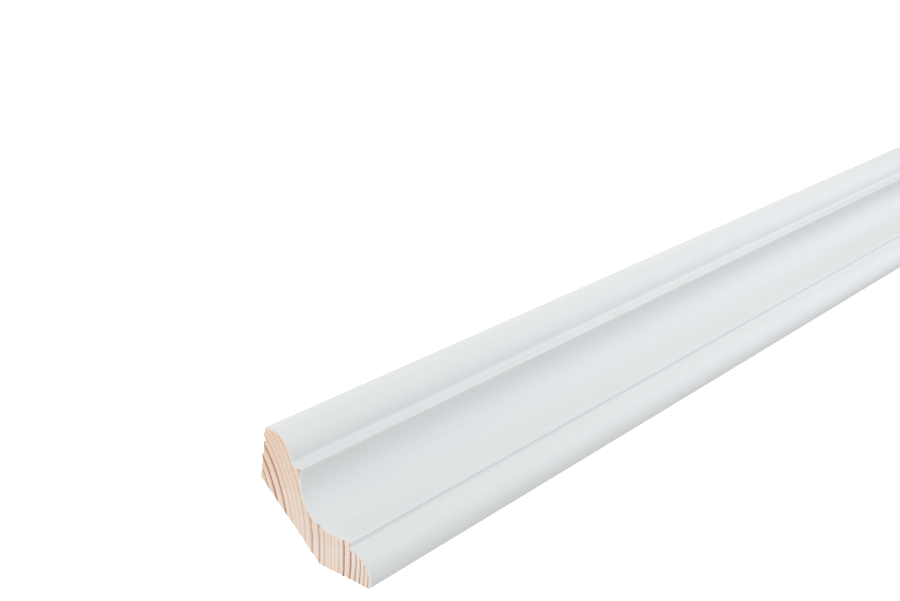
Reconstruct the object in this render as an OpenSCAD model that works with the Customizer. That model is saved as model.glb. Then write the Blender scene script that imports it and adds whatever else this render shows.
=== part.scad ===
// Crown moulding length: one piece of pine, run through a moulder to a
// sprung section and cut square at both ends.
//
// The section is drawn flat, with X as the distance out from the wall seat
// and Y as the distance from the plane of the ceiling seat. It is then
// extruded and turned so that the length runs along X, the wall seat faces
// +Y and the ceiling seat faces -Z. The origin is the middle of the wall
// seat. A half turn about X puts the length into a ceiling corner.

/* [Length] */
// Length between the two square cuts
length = 560; // [100:10:3000]

/* [Section] */
// Reach of the section out from the wall seat
projection = 42.5; // [35:0.5:60]
// Height of the section, from the ceiling seat to the top of the wall lip
drop = 35.2; // [29:0.1:50]
// Angle between the sloping back and the ceiling seat
back_angle = 38; // [30:1:50]
// Thickness of wood left between the cove and the back
web = 8.1; // [4:0.1:12]

/* [Wall lip and ovolo] */
// Rounding of the arris between the wall seat and the lip
lip_round = 1.2; // [0.3:0.1:2.2]
// Width of the lip before the ovolo begins, with its rounding
lip_w = 2.3; // [2:0.1:6]
// Radius of the ovolo under the lip
ovolo_r = 8.9; // [6:0.1:11]
// Height of the ledge above the centre of the ovolo
ovolo_stop = 0.7; // [0:0.1:4]

/* [Ledge and cove] */
// Width of the ledge that parts the ovolo from the cove
ledge_w = 3.55; // [1.5:0.05:5]
// Rounding of the ledge's nose, above the cove
nose_round = 0.5; // [0.2:0.1:1.4]
// Radius of the cove
cove_r = 13; // [8:0.1:15]

/* [Step and toe] */
// Height of the step between the cove and the toe
step_drop = 2; // [1:0.1:3.5]
// Rounding of the step's edge
step_round = 0.5; // [0.2:0.1:1.4]
// Radius of the convex toe under the step
toe_r = 8.4; // [6:0.1:10.5]
// Height of the toe's centre above the ceiling seat
toe_edge = 1.1; // [1:0.1:4]
// Rounding of the arris between the toe and the ceiling seat
toe_round = 0.9; // [0.3:0.1:1]

/* [Hidden] */
$fn = 128;

// The ledge lies a little above the centre of the ovolo, which it cuts off.
ledge_h = drop - ovolo_r + ovolo_stop;
ovolo_reach = sqrt(pow(ovolo_r, 2) - pow(ovolo_stop, 2));
nose = lip_w + ovolo_reach + ledge_w;

// The toe is a quarter round that ends under the step.
toe_h = toe_edge + toe_r;
step_at = projection - toe_r;
tread_h = toe_h + step_drop;

// The cove is a quarter round from the nose down to the tread.
cove_x = nose + cove_r;
cove_y = tread_h + cove_r;

// The arc meets the ledge at nose_tip and the step at step_tip, which lie a
// little off the nose and the tread where the arc is cut short there.
nose_tip = cove_x - sqrt(pow(cove_r, 2) - pow(max(0, cove_y - ledge_h), 2));
step_tip = cove_y - sqrt(pow(cove_r, 2) - pow(max(0, cove_x - step_at), 2));

// The two arrises keep to the flats beside them, and to 0.2 where the cove
// has cut a flat away.
nose_arris = min(nose_round, max(0.2, ledge_h - cove_y));
step_arris = min(step_round, step_drop, max(0.2, step_at - cove_x));

// The back is a plane at back_angle, one web behind the cove's nearest point.
back_reach = cove_x * sin(back_angle) + cove_y * cos(back_angle) - cove_r - web;
wall_low = back_reach / cos(back_angle);
ceiling_in = back_reach / sin(back_angle);

// How far the cutters reach, which clears the blank from any corner of it.
reach = projection + drop;

// The flat part of the wall seat runs from wall_low to wall_high.
wall_high = drop - lip_round;
wall_mid = (wall_low + wall_high) / 2;

// The planed blank: the two seats, the back and the far edge, still square.
module blank() {
    polygon([
        [0, wall_low],
        [0, drop],
        [projection, drop],
        [projection, 0],
        [ceiling_in, 0],
    ]);
}

// Leaves the ovolo: clears all above the ledge but the round itself.
module ovolo_cut() {
    difference() {
        translate([lip_w, ledge_h]) square(reach);
        translate([lip_w, drop - ovolo_r]) circle(ovolo_r);
    }
}

// Leaves the ledge's nose, the cove and the tread that the cove runs into.
module cove_cut() {
    translate([cove_x, cove_y]) circle(cove_r);
    translate([nose, cove_y]) square(reach);
    translate([cove_x, tread_h]) square(reach);
}

// Leaves the toe: clears all beyond the step but the quarter round itself.
module toe_cut() {
    difference() {
        translate([step_at, toe_edge]) square(reach);
        translate([step_at, toe_edge]) circle(toe_r);
    }
}

// Rounds a square outer corner at p to radius r, where side gives the signs
// of the two directions from the corner into the wood.
module arris_cut(p, side, r) {
    translate(p)
        mirror([side.x < 0 ? 1 : 0, 0])
        mirror([0, side.y < 0 ? 1 : 0])
        difference() {
            translate([-r, -r]) square(2 * r);
            translate([r, r]) circle(r);
        }
}

// The whole section, as the cutters leave it.
module section() {
    difference() {
        blank();
        ovolo_cut();
        cove_cut();
        toe_cut();
        arris_cut([0, drop], [1, -1], lip_round);
        arris_cut([nose_tip, ledge_h], [-1, -1], nose_arris);
        arris_cut([step_at, step_tip], [-1, -1], step_arris);
        arris_cut([projection, 0], [-1, 1], toe_round);
    }
}

module crown_moulding() {
    color("#eceeee")
        translate([0, 0, -wall_mid])
        rotate([90, 0, -90])
        linear_extrude(length, center = true)
        section();
}

crown_moulding();
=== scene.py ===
"""The looks of a length of pine crown moulding with a factory coat of white paint.

The wood and the film of paint are two closed surfaces worked out from one
section. Lengths are metres unless a name ends in _MM.
"""

import math

import bpy
import numpy as np
from mathutils import Matrix, Vector


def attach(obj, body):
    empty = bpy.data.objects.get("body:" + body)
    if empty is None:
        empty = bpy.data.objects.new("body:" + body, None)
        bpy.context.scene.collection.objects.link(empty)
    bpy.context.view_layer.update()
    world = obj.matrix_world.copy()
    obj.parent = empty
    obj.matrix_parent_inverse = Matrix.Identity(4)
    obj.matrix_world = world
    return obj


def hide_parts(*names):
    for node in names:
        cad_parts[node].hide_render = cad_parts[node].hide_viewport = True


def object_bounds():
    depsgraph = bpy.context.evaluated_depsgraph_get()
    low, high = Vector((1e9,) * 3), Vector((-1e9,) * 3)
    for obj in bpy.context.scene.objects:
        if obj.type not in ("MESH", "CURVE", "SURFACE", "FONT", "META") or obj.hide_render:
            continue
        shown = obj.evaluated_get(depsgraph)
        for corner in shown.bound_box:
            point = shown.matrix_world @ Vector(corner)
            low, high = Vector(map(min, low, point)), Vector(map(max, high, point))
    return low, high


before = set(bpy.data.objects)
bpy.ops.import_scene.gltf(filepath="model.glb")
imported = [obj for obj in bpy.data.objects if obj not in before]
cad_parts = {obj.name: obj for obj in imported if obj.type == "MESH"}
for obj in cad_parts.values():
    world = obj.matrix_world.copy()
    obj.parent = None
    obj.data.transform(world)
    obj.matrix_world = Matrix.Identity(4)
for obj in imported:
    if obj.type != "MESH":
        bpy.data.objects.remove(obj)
cad_low, cad_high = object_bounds()

MM = 0.001

# The section, as the moulder cuts it. x runs out from the wall seat and y up
# from the ceiling seat, as in the part's source.
PROJECTION = 42.5 * MM
DROP = 35.2 * MM
BACK_ANGLE = math.radians(38)
WEB = 8.1 * MM
LIP_ROUND = 1.2 * MM
LIP_W = 2.3 * MM
OVOLO_R = 8.9 * MM
OVOLO_STOP = 0.7 * MM
LEDGE_W = 3.55 * MM
COVE_R = 13.0 * MM
STEP_DROP = 2.0 * MM
TOE_R = 8.4 * MM
TOE_EDGE = 1.1 * MM
TOE_ROUND = 0.9 * MM

# Places that follow from those sizes.
LEDGE_H = DROP - OVOLO_R + OVOLO_STOP
NOSE = LIP_W + math.sqrt(OVOLO_R**2 - OVOLO_STOP**2) + LEDGE_W
STEP_AT = PROJECTION - TOE_R
TREAD_H = TOE_EDGE + TOE_R + STEP_DROP
COVE_X = NOSE + COVE_R
COVE_Y = TREAD_H + COVE_R
BACK_REACH = COVE_X * math.sin(BACK_ANGLE) + COVE_Y * math.cos(BACK_ANGLE) - COVE_R - WEB
WALL_LOW = BACK_REACH / math.cos(BACK_ANGLE)
CEILING_IN = BACK_REACH / math.sin(BACK_ANGLE)
WALL_MID = (WALL_LOW + DROP - LIP_ROUND) / 2

# The tree's rings, as circles about a pith that lies off the section: where it
# is, how close the rings are on average, the count at the pith, and two swings
# that crowd and spread them, each as its size in years, its start and its period
# in millimetres. The count is zero a ring or two inside the corner nearest the pith.
PITH_OUT_MM, PITH_UP_MM = -34.6, -2.2
RINGS_PER_MM = 0.575
COUNT_AT_PITH = -25.2
SLOW_SWING = (-0.33, 2.1, 25.2)
FAST_SWING = (0.38, 39.7, 11.5)

# How the wood darkens over a year, as shares of it with its turn at 0.5, how long
# after the turn the hardness ends, and how dark each year's latewood came out.
LATEWOOD = [(0.05, 0), (0.3, 0.22), (0.42, 0.62), (0.5, 1), (0.57, 0.95), (0.67, 0)]
HARD_PAST_TURN = 0.1
YEARS = [0.8, 1.0, 0.95, 0.35, 0.2, 0.22, 0.32, 0.6, 0.65, 0.5]
YEARS += [0.2, 0.35, 0.25, 0.42, 1.0, 0.95, 0.8, 0.9, 0.65, 0.65]

# How the rings stray, in millimetres: the size and period of the pith's wander
# out and up along the length, and the sizes of a slow waver and a fine fray.
WANDER_OUT_MM = (1.1, 521.5)
WANDER_UP_MM = (0.8, 383.3)
WAVER_MM, FRAY_MM = 0.6, 0.22

# The film of primer and paint: its depth, the share of it that never varies, the
# length of its thick and thin places, and its depth over proud latewood, on the
# arrises and at its edges. The wood is seated a little into it, so that the two
# surfaces don't coincide.
FILM = 1.0 * MM
FILM_EVEN = 0.6
FILM_PATCH = 1.4 * MM
FILM_ON_LATEWOOD = 0.1 * MM
FILM_ON_ARRIS = 0.3 * MM
FILM_EDGE = 0.03 * MM
SEATED = 0.01 * MM

# How far the film laps onto the two seats, how it pools in the inner corners and
# softens the arrises, and how planing eases the back's.
LAP = 1.6 * MM
LEDGE_POOL_R = 1.6 * MM
STEP_POOL_R = 1.5 * MM
NOSE_R = 0.5 * MM
STEP_R = 0.5 * MM
BACK_EASE = 0.8 * MM

# How the saw leaves the rim of a cut in the bare wood: how far it eases it and
# over what run, how deep it tears it and over what run, how long a tear is, the
# shares of its depth left on the back and in hard latewood, and how far from the
# film of paint it reaches its full depth.
RIM = 0.1 * MM
RIM_RUN = 0.25 * MM
TORN = 0.7 * MM
TORN_RUN = 2.5 * MM
TORN_PATCH = 2.2 * MM
TORN_ON_BACK = 0.25
TORN_IN_LATEWOOD = 0.1
TORN_FROM_PAINT = 2.0 * MM

# Splits in the bare wood at each cut: place out and up, half width and depth, in
# millimetres.
NEAR_SPLITS = [((0.0, 31.2), 1.2, 1.9)]
FAR_SPLITS = [((0.0, 24.0), 1.4, 1.2), ((30.0, 0.0), 1.6, 1.0)]

# How far the cut edge of the film stands back from the wood, at least and with
# its fraying, and the lengths of the frays and of the nicks within a chip.
SET_BACK = 0.02 * MM
FRAYED = 0.06 * MM
FRAY_LENGTH = 0.5 * MM
NICK_LENGTH = 0.3 * MM

# Chips at each cut: place along the face, half width and depth, in millimetres.
NEAR_CHIPS = [(0.0, 1.2, 1.0), (38.5, 0.9, 0.5), (58.6, 0.5, 0.35), (8.0, 0.5, 0.2)]
FAR_CHIPS = [(25.0, 0.6, 0.5), (70.0, 0.7, 0.4)]

# Spacing of the points along the section and of its copies along the length, the
# depths of the copies just inside each cut, and how far an arc turns between
# points where it is too tight for that spacing.
FACE_PITCH = 0.16 * MM
COPY_PITCH = 10.0 * MM
END_DEPTHS_MM = [0, 0.12, 0.3, 0.7, 1.5, 4]
ARC_TURN = math.radians(6)

# Where the two square cuts are.
NEAR_END, FAR_END = cad_low.x, cad_high.x
LENGTH = FAR_END - NEAR_END

# The camera, from the near end of the wall seat's middle line.
CAMERA_PLACE = (-0.35223, -0.2698, 0.21862)
CAMERA_AIM = (0.8001, 0.48713, -0.35017)
CAMERA_ROLL = math.radians(7.86)
LENS_MM, SENSOR_MM = 68.6, 36.0

# The floor: half its side, how far below the part it lies, and its own glow.
FLOOR_HALF = 30.0
FLOOR_BELOW = 0.35
FLOOR_GLOW = 0.3

# Large lights round the set: the way each lies, as degrees from +X towards +Y and
# degrees down from overhead, its share of full light on a surface facing it, its
# colour, and whether it shines in the gloss. The strongest doesn't, or its glare
# would hide the mouldings from anyone who looks along them towards it.
LARGE_LIGHTS = [
    ("beyond_near_end", 180, 65, 0.459, "#ffffff", False),
    ("low_at_side", -20, 80, 0.195, "#f0f8ff", True),
    ("behind", 90, 65, 0.21, "#ffffff", True),
]
LARGE_LIGHT_ACROSS = math.radians(40)

# A square softbox over the middle, and the even white surround.
SOFTBOX_SIDE = 0.5
SOFTBOX_WATTS = 0.552
SOFTBOX_PLACE = (0.05, -0.25, 0.45)
SOFTBOX_AIM = (0.05, -0.02, 0)
SURROUND = 0.625


# ---------------------------------------------------------------- the section


def arc(centre, radius, start, end, hollow=False):
    """Points centre + radius * (cos a, sin a), as a goes from start to end in degrees.

    With them come the outward normals, which point away from the centre, or to
    it where the curve is hollow.
    """
    span = abs(math.radians(end - start))
    count = max(6, int(span * radius / FACE_PITCH), int(span / ARC_TURN))
    angle = np.radians(np.linspace(start, end, count + 1))
    normals = np.column_stack([np.cos(angle), np.sin(angle)])
    return np.array(centre) + radius * normals, -normals if hollow else normals


def run(start, end):
    """Points on a straight line without its ends, with the normal to the left of its direction."""
    start, end = np.array(start, float), np.array(end, float)
    length = np.linalg.norm(end - start)
    count = max(2, int(length / FACE_PITCH))
    share = np.linspace(0, 1, count + 1)[1:-1, None]
    normal = np.array([start[1] - end[1], end[0] - start[0]]) / length
    return start + (end - start) * share, np.tile(normal, (len(share), 1))


def joined(*stretches):
    """One curve from stretches of points and normals, less any point that repeats the one before."""
    points, normals = (np.vstack(parts) for parts in zip(*stretches))
    fresh = np.append(True, np.linalg.norm(np.diff(points, axis=0), axis=1) > 1e-9)
    return points[fresh], normals[fresh]


def face_curve():
    """The painted face: wall seat, lip, ovolo, ledge, cove, step, toe and ceiling seat.

    Paint pools in the two inner corners as small arcs that touch both sides:
    their centres are a pool's radius from the flat side and R plus that from
    the centre of the round one. It softens the two arrises to NOSE_R and STEP_R.
    """
    ovolo = (LIP_W, DROP - OVOLO_R)
    pool_rise = OVOLO_STOP + LEDGE_POOL_R
    pool_x = LIP_W + math.sqrt((OVOLO_R + LEDGE_POOL_R) ** 2 - pool_rise**2)
    ovolo_low = math.degrees(math.asin(pool_rise / (OVOLO_R + LEDGE_POOL_R)))
    toe = (STEP_AT, TOE_EDGE)
    toe_pool_rise = math.sqrt((TOE_R + STEP_POOL_R) ** 2 - STEP_POOL_R**2)
    toe_pool = (STEP_AT + STEP_POOL_R, TOE_EDGE + toe_pool_rise)
    toe_top = math.degrees(math.acos(STEP_POOL_R / (TOE_R + STEP_POOL_R)))
    return joined(
        run((0, DROP - LIP_ROUND - LAP), (0, DROP - LIP_ROUND)),
        arc((LIP_ROUND, DROP - LIP_ROUND), LIP_ROUND, 180, 90),
        run((LIP_ROUND, DROP), (LIP_W, DROP)),
        arc(ovolo, OVOLO_R, 90, ovolo_low),
        arc((pool_x, LEDGE_H + LEDGE_POOL_R), LEDGE_POOL_R, 180 + ovolo_low, 270, hollow=True),
        run((pool_x, LEDGE_H), (NOSE - NOSE_R, LEDGE_H)),
        arc((NOSE - NOSE_R, LEDGE_H - NOSE_R), NOSE_R, 90, 0),
        run((NOSE, LEDGE_H - NOSE_R), (NOSE, COVE_Y)),
        arc((COVE_X, COVE_Y), COVE_R, 180, 270, hollow=True),
        run((COVE_X, TREAD_H), (STEP_AT - STEP_R, TREAD_H)),
        arc((STEP_AT - STEP_R, TREAD_H - STEP_R), STEP_R, 90, 0),
        run((STEP_AT, TREAD_H - STEP_R), (STEP_AT, toe_pool[1])),
        arc(toe_pool, STEP_POOL_R, 180, 180 + toe_top, hollow=True),
        arc(toe, TOE_R, toe_top, 0),
        run((PROJECTION, TOE_EDGE), (PROJECTION, TOE_ROUND)),
        arc((PROJECTION - TOE_ROUND, TOE_ROUND), TOE_ROUND, 0, -90),
        run((PROJECTION - TOE_ROUND, 0), (PROJECTION - TOE_ROUND - LAP, 0)),
    )


def along(points):
    """Distance along a curve at each of its points."""
    steps = np.linalg.norm(np.diff(points, axis=0), axis=1)
    return np.concatenate([[0], np.cumsum(steps)])


def ring_count(radius):
    """Years up to a radius in millimetres: a steady growth and two swings of it."""
    count = radius * RINGS_PER_MM + COUNT_AT_PITH
    for amount, start, period in (SLOW_SWING, FAST_SWING):
        count = count + amount * np.sin((radius - start) * (math.tau / period))
    return count


def hardness(points):
    """How hard the wood is at section points, from 0 to 1.

    It rises with the fourth power of the way through each year to that year's
    strength, and falls away over the last twentieth, just past the latewood.
    """
    radius = np.hypot(points[:, 0] / MM - PITH_OUT_MM, points[:, 1] / MM - PITH_UP_MM)
    count = ring_count(radius) - HARD_PAST_TURN
    year = np.floor(count)
    strength = np.array(YEARS)[(year.astype(int) + 1) % len(YEARS)]
    phase = count - year
    return strength * np.minimum(1, phase / 0.95) ** 4 * np.minimum(1, (1 - phase) / 0.05)


def film_depth(points):
    """Thickness of the paint at each point of the face.

    It is FILM with a random share less, falls to FILM_ON_LATEWOOD where the
    wood is hard and to FILM_ON_ARRIS within a bell of 1 mm radius round each
    arris, and thins to FILM_EDGE over the laps on the seats.
    """
    s = along(points)
    full = FILM * (FILM_EVEN + (1 - FILM_EVEN) * ragged(s, 3, FILM_PATCH))
    full += (FILM_ON_LATEWOOD - full) * hardness(points)
    for arris in ((NOSE, LEDGE_H), (STEP_AT, TREAD_H), (PROJECTION, 0), (0, DROP)):
        near = np.exp(-(np.linalg.norm(points - arris, axis=1) / MM) ** 2)
        full += (np.minimum(full, FILM_ON_ARRIS) - full) * np.minimum(1, 1.5 * near)
    rise = np.clip(np.minimum(s, s[-1] - s) / LAP, 0, 1)
    return FILM_EDGE + (full - FILM_EDGE) * rise * rise * (3 - 2 * rise)


def back_curve(start, end):
    """The bare outline: from the face's end over ceiling seat, back and wall seat to its start.

    The back meets each seat in an arc of radius BACK_EASE, whose centre is
    that far inside both.
    """
    reach = BACK_EASE * math.tan((math.pi / 2 - BACK_ANGLE) / 2)
    lean = math.degrees(BACK_ANGLE)
    ceiling_turn = BACK_EASE * math.tan(BACK_ANGLE / 2)
    low = (CEILING_IN + ceiling_turn, BACK_EASE)
    high = (BACK_EASE, WALL_LOW + reach)
    behind = -BACK_EASE * np.array([math.sin(BACK_ANGLE), math.cos(BACK_ANGLE)])
    return joined(
        run(end, (CEILING_IN + ceiling_turn, 0)),
        arc(low, BACK_EASE, -90, -90 - lean),
        run(low + behind, high + behind),
        arc(high, BACK_EASE, -90 - lean, -180),
        run((0, WALL_LOW + reach), start),
    )


# ------------------------------------------------------------------ the meshes


def placed(x, section):
    """Points at x along the length for section points (out, up): (x, -out, up - WALL_MID)."""
    return np.stack([x, -section[..., 0], section[..., 1] - WALL_MID], axis=-1)


def loft(loop, x):
    """Vertices and quads of a closed loop of section points carried along x.

    loop is (copies, points, 2) and x is (copies, points). The loop turns
    clockwise as drawn, so each quad is wound to face outwards.
    """
    copies, count = x.shape
    vertices = placed(x, loop).reshape(-1, 3)
    here, step = np.meshgrid(np.arange(copies - 1) * count, np.arange(count), indexing="ij")
    after = (step + 1) % count
    beyond = here + count
    quads = np.stack([here + step, here + after, beyond + after, beyond + step], axis=-1)
    return vertices, quads.reshape(-1, 4)


def add_piece(name, vertices, sides, cuts, sharp, finish, cut_finish):
    """A mesh object at the origin, with one finish on its sides and one on its cuts.

    It is smooth but for edges that turn by more than sharp degrees.
    """
    mesh = bpy.data.meshes.new(name)
    mesh.from_pydata(vertices.tolist(), [], sides.tolist() + cuts)
    mesh.materials.append(finish)
    mesh.materials.append(cut_finish)
    mesh.polygons.foreach_set("material_index", [0] * len(sides) + [1] * len(cuts))
    mesh.validate()
    mesh.shade_smooth()
    mesh.set_sharp_from_angle(angle=math.radians(sharp))
    piece = bpy.data.objects.new(name, mesh)
    bpy.context.scene.collection.objects.link(piece)
    return piece


def stations():
    """Shares of the length, close together just inside both cuts and COPY_PITCH apart between."""
    near = np.array(END_DEPTHS_MM) * MM / LENGTH
    middle = np.linspace(near[-1], 1 - near[-1], int(LENGTH / COPY_PITCH))
    return np.concatenate([near[:-1], middle, 1 - near[-2::-1]])


def ragged(s, seed, pitch):
    """Smooth random values from 0 to 1 along s, with one random knot for each pitch of length."""
    dice = np.random.default_rng(seed)
    knots = dice.random(int(s[-1] / pitch) + 3)
    place = s / pitch
    low = place.astype(int)
    share = place - low
    share = share * share * (3 - 2 * share)
    return knots[low] * (1 - share) + knots[low + 1] * share


def pine_length():
    """The wood: the face less the film, the two seats and the back, between two square cuts.

    The saw has eased the rim of each cut by RIM, torn fibres from the bare
    sides by up to TORN and split pieces off them, all fading out over TORN_RUN
    of the length. Latewood holds out against it.
    """
    points, normals = face_curve()
    face = points - normals * (film_depth(points) - SEATED)[:, None]
    back, _ = back_curve(face[0], face[-1])
    loop = np.vstack([face, back])
    inwards = np.array([PROJECTION, DROP]) / 2 - loop
    inwards /= np.linalg.norm(inwards, axis=1, keepdims=True)
    share = stations()
    depth = np.minimum(share, 1 - share) * LENGTH
    ease = RIM * np.clip(1 - depth / RIM_RUN, 0, 1)
    s = along(loop) - along(face)[-1]
    bare = np.clip(np.minimum(s, s[-1] - s) / TORN_FROM_PAINT, 0, 1)
    yields = bare * (1 - (1 - TORN_IN_LATEWOOD) * hardness(loop))
    near = torn(loop, 5, NEAR_SPLITS) * yields
    far = torn(loop, 8, FAR_SPLITS) * yields
    fade = np.clip(1 - depth / TORN_RUN, 0, 1) ** 2
    pulled = ease[:, None] * bare + fade[:, None] * np.where(share[:, None] < 0.5, near, far)
    copies = loop[None] + pulled[..., None] * inwards[None]
    x = np.repeat((NEAR_END + share * LENGTH)[:, None], len(loop), axis=1)
    vertices, quads = loft(copies, x)
    count = len(loop)
    near_cut = list(range(count))[::-1]
    far_cut = list(range(len(vertices) - count, len(vertices)))
    return add_piece("pine_length", vertices, quads, [near_cut, far_cut], 35, planed_pine(), sawn_pine())


def torn(loop, seed, splits):
    """How deep the saw has torn the sides: ragged noise, and a rounded bite for each split.

    The noise is 0.4 of TORN to all of it, and shrinks to its share TORN_ON_BACK
    over the first millimetre off the two seats.
    """
    deep = TORN * (0.4 + 0.6 * ragged(along(loop), seed, TORN_PATCH))
    deep *= 1 - (1 - TORN_ON_BACK) * np.clip(loop.min(axis=1) / MM, 0, 1)
    for place, half, depth in splits:
        off = np.linalg.norm(loop / MM - place, axis=1) / half
        deep = np.maximum(deep, depth * MM * np.sqrt(np.clip(1 - off * off, 0, None)))
    return deep


def face_paint():
    """The film of paint, between the face curve and the same curve less the film's depth.

    Its cut ends stand back from the wood by a ragged hair's breadth, and by
    more where the saw has lifted a chip.
    """
    points, normals = face_curve()
    inner = points - normals * film_depth(points)[:, None]
    loop = np.vstack([points, inner[::-1]])
    s = along(points)
    share = stations()
    near = chipped(s, 11, NEAR_CHIPS)
    far = chipped(s, 23, FAR_CHIPS)
    low = NEAR_END + np.concatenate([near, near[::-1]])
    high = FAR_END - np.concatenate([far, far[::-1]])
    x = low[None] + share[:, None] * (high - low)[None]
    vertices, quads = loft(np.repeat(loop[None], len(share), axis=0), x)
    count = len(loop)
    i = np.arange(len(points) - 1)
    near_cut = np.stack([i, count - 1 - i, count - 2 - i, i + 1], axis=-1)
    far_cut = near_cut[:, ::-1] + len(vertices) - count
    cuts = np.vstack([near_cut, far_cut]).tolist()
    return add_piece("face_paint", vertices, quads, cuts, 40, satin_paint(), cut_paint())


def chipped(s, seed, chips):
    """How far the film stands back from the cut: ragged noise, and a rounded bite for each chip."""
    back = SET_BACK + FRAYED * ragged(s, seed, FRAY_LENGTH) ** 2
    nicks = 0.6 + 0.4 * ragged(s, seed + 1, NICK_LENGTH)
    for place, half, depth in chips:
        off = np.clip(1 - ((s / MM - place) / half) ** 2, 0, None)
        back = np.maximum(back, depth * MM * np.sqrt(off) * nicks)
    return back


# --------------------------------------------------------------- the materials


def colour(code):
    """Linear RGBA of an sRGB hex colour."""
    values = [int(code[i : i + 2], 16) / 255 for i in (1, 3, 5)]
    return [v / 12.92 if v <= 0.04045 else ((v + 0.055) / 1.055) ** 2.4 for v in values] + [1.0]


def add(tree, kind, *inputs, stops=(), **settings):
    """Adds a node, with its inputs in the order it shows them and its settings by name.

    An input is a value, a socket to link from, or a node whose first socket is
    meant. A setting is a property of the node, or else one more input, with _
    for a space in its name. Stops are a colour ramp's places and grey levels.
    """
    node = tree.nodes.new("ShaderNode" + kind)
    for name, value in settings.items():
        if hasattr(node, name):
            setattr(node, name, value)
    pairs = list(zip([socket for socket in node.inputs if socket.enabled], inputs))
    for name, value in settings.items():
        if not hasattr(node, name):
            pairs.append((node.inputs[name.replace("_", " ")], value))
    for socket, value in pairs:
        if isinstance(value, bpy.types.Node):
            value = next(output for output in value.outputs if output.enabled)
        if isinstance(value, bpy.types.NodeSocket):
            tree.links.new(value, socket)
        else:
            socket.default_value = value
    if stops:
        marks = node.color_ramp.elements
        marks.remove(marks[1])
        marks[0].position = stops[0][0]
        for place, _ in stops[1:]:
            marks.new(place)
        for mark, (_, level) in zip(marks, stops):
            mark.color = (level, level, level, 1)
    return node


def empty_material(name):
    """A node material with nothing in its tree, and the tree."""
    made = bpy.data.materials.new(name)
    made.use_nodes = True
    made.node_tree.nodes.clear()
    return made, made.node_tree


def in_mm(tree):
    """Object coordinates in millimetres."""
    place = add(tree, "TexCoord").outputs["Object"]
    return add(tree, "VectorMath", place, operation="SCALE", Scale=1000.0)


def streaks(tree, place, length, width, detail=2.0):
    """Random streaks from 0 to 1, about so many millimetres long and wide."""
    drawn_out = add(tree, "Mapping", place, Scale=(1 / length, 1 / width, 1 / width))
    return add(tree, "TexNoise", drawn_out, Scale=1.0, Detail=detail)


def wave(tree, place, amount, start, period):
    """amount * sin(2 pi (place - start) / period)"""
    rate = math.tau / period
    turn = add(tree, "Math", place, rate, -start * rate, operation="MULTIPLY_ADD")
    return add(tree, "Math", add(tree, "Math", turn, operation="SINE"), amount, operation="MULTIPLY")


def satin_paint():
    """Water-based satin trim paint, sprayed.

    It gives the eye a cool white, a faint orange peel, and a softer gloss in
    long streaks where the grain below has drunk it in.
    """
    made, tree = empty_material("white_satin_paint")
    place = in_mm(tree)
    peel = streaks(tree, place, 1.1, 1.1)
    drunk_in = streaks(tree, place, 80.0, 0.7, detail=4.0)
    white = add(tree, "Mix", drunk_in, colour("#e0e2e3"), colour("#e8eaeb"), data_type="RGBA")
    rough = add(tree, "Math", drunk_in, 0.14, 0.4, operation="MULTIPLY_ADD")
    height = add(tree, "Math", drunk_in, 0.6, peel, operation="MULTIPLY_ADD")
    bump = add(tree, "Bump", Height=height, Strength=0.25, Distance=0.02 * MM)
    shader = add(tree, "BsdfPrincipled", white, Roughness=rough, Specular_IOR_Level=0.35, Normal=bump)
    add(tree, "OutputMaterial", shader)
    return made


def cut_paint():
    """The same paint where the saw has gone through the film: matt, and dulled to cream by sawdust."""
    made, tree = empty_material("cut_edge_of_paint")
    dust = streaks(tree, in_mm(tree), 0.5, 0.5, detail=3.0)
    cream = add(tree, "Mix", dust, colour("#e6e3de"), colour("#d8d1c8"), data_type="RGBA")
    add(tree, "OutputMaterial", add(tree, "BsdfPrincipled", cream, Roughness=0.8))
    return made


def from_pith(tree, place):
    """Millimetres out and up from the pith, which wanders in two slow waves from the near end on."""
    x, y, z = add(tree, "SeparateXYZ", place).outputs
    wander_out = wave(tree, x, WANDER_OUT_MM[0], NEAR_END / MM, WANDER_OUT_MM[1])
    wander_up = wave(tree, x, WANDER_UP_MM[0], NEAR_END / MM, WANDER_UP_MM[1])
    out = add(tree, "Math", -PITH_OUT_MM, y, operation="SUBTRACT")
    up = add(tree, "Math", z, WALL_MID / MM - PITH_UP_MM, operation="ADD")
    return (
        add(tree, "Math", out, wander_out, operation="SUBTRACT"),
        add(tree, "Math", up, wander_up, operation="SUBTRACT"),
    )


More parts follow.
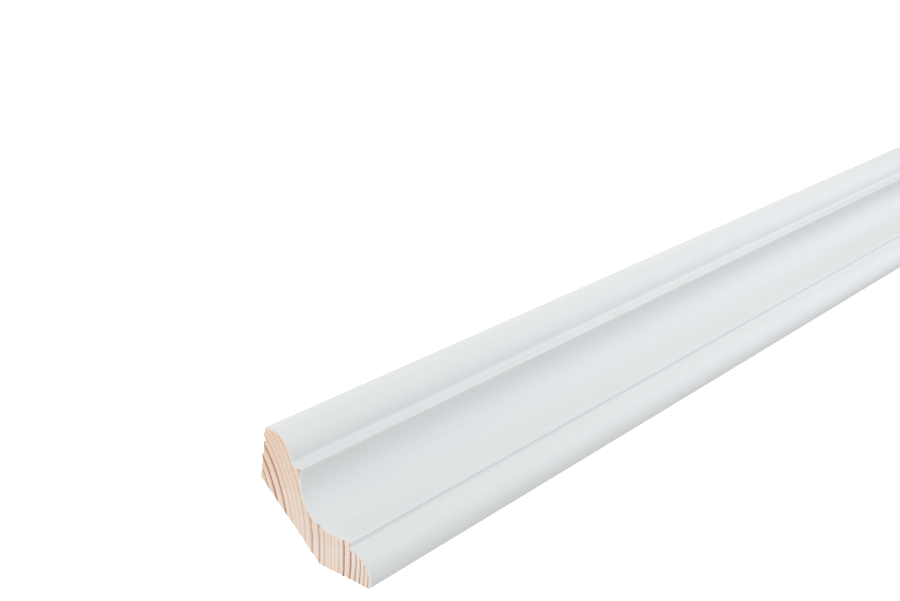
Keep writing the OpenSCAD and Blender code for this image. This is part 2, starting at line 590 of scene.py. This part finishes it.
def ring_tone(tree, place):
    """How dark the wood is, from 0 in earlywood to 1 in the heart of a strong year's latewood.

    The rings are counted out along the radius from the pith, as ring_count
    does, with a slow waver and a fine fray. Latewood comes in slowly over a
    year and ends at once, and each year has its own strength.
    """
    out, up = from_pith(tree, place)
    flat = add(tree, "CombineXYZ", out, up)
    radius = add(tree, "VectorMath", flat, operation="LENGTH")
    waver = streaks(tree, place, 100.0, 4.5, detail=3.0)
    fray = streaks(tree, place, 25.0, 0.45, detail=3.0)
    radius = add(tree, "Math", waver, WAVER_MM, radius, operation="MULTIPLY_ADD")
    radius = add(tree, "Math", fray, FRAY_MM, radius, operation="MULTIPLY_ADD")
    radius = add(tree, "Math", radius, (WAVER_MM + FRAY_MM) / 2, operation="SUBTRACT")

    # The half year puts the turn of the year at the middle of the ramp.
    start = COUNT_AT_PITH + 0.5
    count = add(tree, "Math", radius, RINGS_PER_MM, start, operation="MULTIPLY_ADD")
    for swing in (SLOW_SWING, FAST_SWING):
        count = add(tree, "Math", count, wave(tree, radius, *swing), operation="ADD")
    year = add(tree, "Math", count, operation="FRACT")
    late = add(tree, "ValToRGB", year, stops=LATEWOOD)
    share = add(tree, "Math", count, 1 / len(YEARS), operation="MULTIPLY")
    levels = [(i / len(YEARS), level) for i, level in enumerate(YEARS)]
    strength = add(tree, "ValToRGB", share, stops=levels)
    strength.color_ramp.interpolation = "CONSTANT"
    return add(tree, "Math", late, strength, operation="MULTIPLY")


def pine_colours(tree, tone, place):
    """Pale earlywood with orange-brown latewood.

    The earlywood shades to peach towards the lip and the toe, and in patches.
    """
    _, y, z = add(tree, "SeparateXYZ", place).outputs
    to_lip = add(tree, "MapRange", z, -20.0, -3.0, 0.0, 0.42)
    to_toe = add(tree, "MapRange", y, -30.0, -42.0, 0.0, 0.15)
    peach = add(tree, "Math", to_lip, to_toe, operation="MAXIMUM")
    patches = streaks(tree, place, 100.0, 11.0, detail=1.0)
    share = add(tree, "MapRange", add(tree, "Math", patches, peach, operation="ADD"), 0.45, 0.95)
    early = add(tree, "Mix", share, colour("#e6dad1"), colour("#e1c9b4"), data_type="RGBA")
    return add(tree, "Mix", tone, early, colour("#a3602c"), data_type="RGBA")


def sawn_pine():
    """Pine cut across the grain with a fine blade.

    It gives the eye matt rings, pale rays across them, shallow arcs from the
    blade and pale crushed fibre. A little paint has run onto it at the lip.
    """
    made, tree = empty_material("sawn_end_grain")
    place = in_mm(tree)
    out, up = from_pith(tree, place)
    tone = ring_tone(tree, place)
    base = pine_colours(tree, tone, place)

    # Rays run out from the pith, about 8 mm long. They are 0.4 mm apart 60 mm out,
    # at the middle of the section, which is coarser than real ones so that they show.
    bearing = add(tree, "Math", up, out, operation="ARCTAN2")
    round_pith = add(tree, "Math", bearing, 60.0, operation="MULTIPLY")
    polar = add(tree, "CombineXYZ", round_pith, add(tree, "Math", out, 0.12, operation="MULTIPLY"))
    rays = add(tree, "MapRange", streaks(tree, polar, 0.4, 1.0), 0.56, 0.72, 0.0, 0.22)
    base = add(tree, "Mix", rays, base, colour("#f4e8de"), data_type="RGBA")
    fuzz = streaks(tree, place, 1.0, 0.3, detail=4.0)
    crushed = add(tree, "MapRange", fuzz, 0.5, 0.75, 0.0, 0.35)
    base = add(tree, "Mix", crushed, base, colour("#f0e3d9"), data_type="RGBA")

    # The smear of paint lies within 2 mm of the lip at the near cut.
    lip = (NEAR_END / MM, -0.9, (DROP - WALL_MID) / MM - 0.3)
    reach = add(tree, "VectorMath", place, lip, operation="DISTANCE")
    reach = add(tree, "Math", fuzz, 1.4, reach, operation="MULTIPLY_ADD")
    smear = add(tree, "MapRange", reach, 1.4, 1.9, 1.0, 0.0)
    base = add(tree, "Mix", smear, base, colour("#ddd5c8"), data_type="RGBA")

    # The blade's arcs are 0.6 mm apart, about its arbor well off the section.
    blade = add(tree, "VectorMath", place, (0, -90, 130), operation="DISTANCE")
    scores = streaks(tree, add(tree, "CombineXYZ", blade), 0.6, 1.0, detail=3.0)
    height = add(tree, "Math", scores, 0.6, operation="MULTIPLY")
    height = add(tree, "Math", fuzz, 0.5, height, operation="MULTIPLY_ADD")
    height = add(tree, "Math", tone, 0.5, height, operation="MULTIPLY_ADD")
    bump = add(tree, "Bump", Height=height, Strength=0.5, Distance=0.06 * MM)
    shader = add(tree, "BsdfPrincipled", base, Roughness=0.85, Specular_IOR_Level=0.3, Normal=bump)
    add(tree, "OutputMaterial", shader)
    return made


def planed_pine():
    """Pine along the grain, off the moulder.

    It gives the eye long ring lines, fine fibre, brown resin ducts, the ripple
    of the knives, and a mist of paint near the two lips.
    """
    made, tree = empty_material("planed_pine")
    place = in_mm(tree)
    x, y, z = add(tree, "SeparateXYZ", place).outputs
    tone = ring_tone(tree, place)
    base = pine_colours(tree, tone, place)

    # The fibre is in bundles, coarser than single fibres so that it shows.
    fibre = streaks(tree, place, 20.0, 0.14, detail=4.0)
    darker = add(tree, "MapRange", fibre, 0.4, 0.7, 0.0, 0.4)
    base = add(tree, "Mix", darker, base, colour("#c39f80"), data_type="RGBA")
    ducts = add(tree, "MapRange", streaks(tree, place, 8.0, 0.22, detail=1.0), 0.7, 0.76, 0.0, 0.55)
    base = add(tree, "Mix", ducts, base, colour("#8f5f3e"), data_type="RGBA")

    # The mist thins out over 6 mm, from just under the edges of the film of paint.
    under, run_out = 2.0, 6.0
    wall_edge = (DROP - WALL_MID) / MM - under
    ceiling_edge = -PROJECTION / MM + under
    at_wall = add(tree, "MapRange", z, wall_edge - run_out, wall_edge)
    at_ceiling = add(tree, "MapRange", y, ceiling_edge + run_out, ceiling_edge)
    near = add(tree, "Math", at_wall, at_ceiling, operation="MAXIMUM")
    near = add(tree, "Math", near, 1.5, operation="POWER")
    mist = add(tree, "Math", near, 0.75, -0.5, operation="MULTIPLY_ADD")
    specks = streaks(tree, place, 0.5, 0.22, detail=6.0)
    mist = add(tree, "Math", specks, 0.7, mist, operation="MULTIPLY_ADD")
    wisps = streaks(tree, place, 30.0, 2.0, detail=3.0)
    mist = add(tree, "Math", wisps, 0.6, mist, operation="MULTIPLY_ADD")
    mist = add(tree, "MapRange", mist, 0.38, 0.68, 0.0, 0.85)
    base = add(tree, "Mix", mist, base, colour("#dfe0e0"), data_type="RGBA")

    # One knife mark each 1.6 mm.
    ripple = wave(tree, x, 0.12, 0.0, 1.6)
    height = add(tree, "Math", fibre, 0.8, ripple, operation="MULTIPLY_ADD")
    height = add(tree, "Math", tone, 0.4, height, operation="MULTIPLY_ADD")
    rough = add(tree, "Math", fibre, 0.25, 0.5, operation="MULTIPLY_ADD")
    bump = add(tree, "Bump", Height=height, Strength=0.4, Distance=0.04 * MM)
    add(tree, "OutputMaterial", add(tree, "BsdfPrincipled", base, Roughness=rough, Normal=bump))
    return made


# --------------------------------------------------------------------- the set


def camera():
    """A view along the length through a long lens, from beyond its near end and a little above."""
    data = bpy.data.cameras.new("camera")
    data.sensor_width = SENSOR_MM
    data.lens = LENS_MM
    made = bpy.data.objects.new("camera", data)
    bpy.context.scene.collection.objects.link(made)
    place = Vector((NEAR_END, 0, 0)) + Vector(CAMERA_PLACE)
    level = Vector(CAMERA_AIM).to_track_quat("-Z", "Y").to_matrix()
    turn = level @ Matrix.Rotation(CAMERA_ROLL, 3, "Z")
    made.matrix_world = Matrix.Translation(place) @ turn.to_4x4()
    bpy.context.scene.camera = made


def floor():
    """A wide white floor, well below the part because a wall holds it.

    It is lit to full white, and is hidden from bounced light so that its glare
    doesn't wash out the underside of the toe.
    """
    level = cad_low.z - FLOOR_BELOW
    sides = [(-1, -1), (1, -1), (1, 1), (-1, 1)]
    corners = [(x * FLOOR_HALF, y * FLOOR_HALF, level) for x, y in sides]
    mesh = bpy.data.meshes.new("floor")
    mesh.from_pydata(corners, [], [(0, 1, 2, 3)])
    made = bpy.data.objects.new("floor", mesh)
    bpy.context.scene.collection.objects.link(made)
    finish, tree = empty_material("white_floor")
    white = (1, 1, 1, 1)
    matt = {"Roughness": 1.0, "Specular_IOR_Level": 0.0}
    glow = {"Emission_Color": white, "Emission_Strength": FLOOR_GLOW}
    add(tree, "OutputMaterial", add(tree, "BsdfPrincipled", white, **matt, **glow))
    mesh.materials.append(finish)
    made.visible_diffuse = False
    made.visible_glossy = False


def lights():
    """The large lights, as broad suns, the softbox, the surround and a plain view of them."""
    for name, way, down, share, tint, shines in LARGE_LIGHTS:
        data = bpy.data.lights.new(name, "SUN")
        data.energy = share * math.pi
        data.color = colour(tint)[:3]
        data.angle = LARGE_LIGHT_ACROSS
        sun = bpy.data.objects.new(name, data)
        bpy.context.scene.collection.objects.link(sun)
        sun.rotation_euler = (0, math.radians(down), math.radians(way))
        sun.visible_glossy = shines
    data = bpy.data.lights.new("over_the_middle", "AREA")
    data.size = SOFTBOX_SIDE
    data.energy = SOFTBOX_WATTS
    softbox = bpy.data.objects.new("over_the_middle", data)
    bpy.context.scene.collection.objects.link(softbox)
    softbox.location = SOFTBOX_PLACE
    aim = Vector(SOFTBOX_AIM) - softbox.location
    softbox.rotation_euler = aim.to_track_quat("-Z", "Y").to_euler()
    softbox.visible_camera = False
    world = bpy.data.worlds.new("studio")
    world.use_nodes = True
    bpy.context.scene.world = world
    tree = world.node_tree
    tree.nodes.clear()
    add(tree, "OutputWorld", add(tree, "Background", (1, 1, 1, 1), SURROUND))

    # Colours are shown as they are, with no film curve.
    view = bpy.context.scene.view_settings
    view.view_transform = "Standard"
    view.look = "None"


def fit_check():
    """Stops if the sizes above don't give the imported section's box."""
    points, _ = face_curve()
    low = Vector((NEAR_END, -points[:, 0].max(), points[:, 1].min() - WALL_MID))
    high = Vector((FAR_END, -points[:, 0].min(), points[:, 1].max() - WALL_MID))
    off = max((low - cad_low).length, (high - cad_high).length)
    if off > 0.05 * MM:
        raise ValueError(f"the section here and the packed one differ by {off / MM:.3f} mm")


fit_check()
camera()
floor()
lights()

wood = pine_length()
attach(wood, "root")
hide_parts("crown_moulding")

paint = face_paint()
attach(paint, "root")
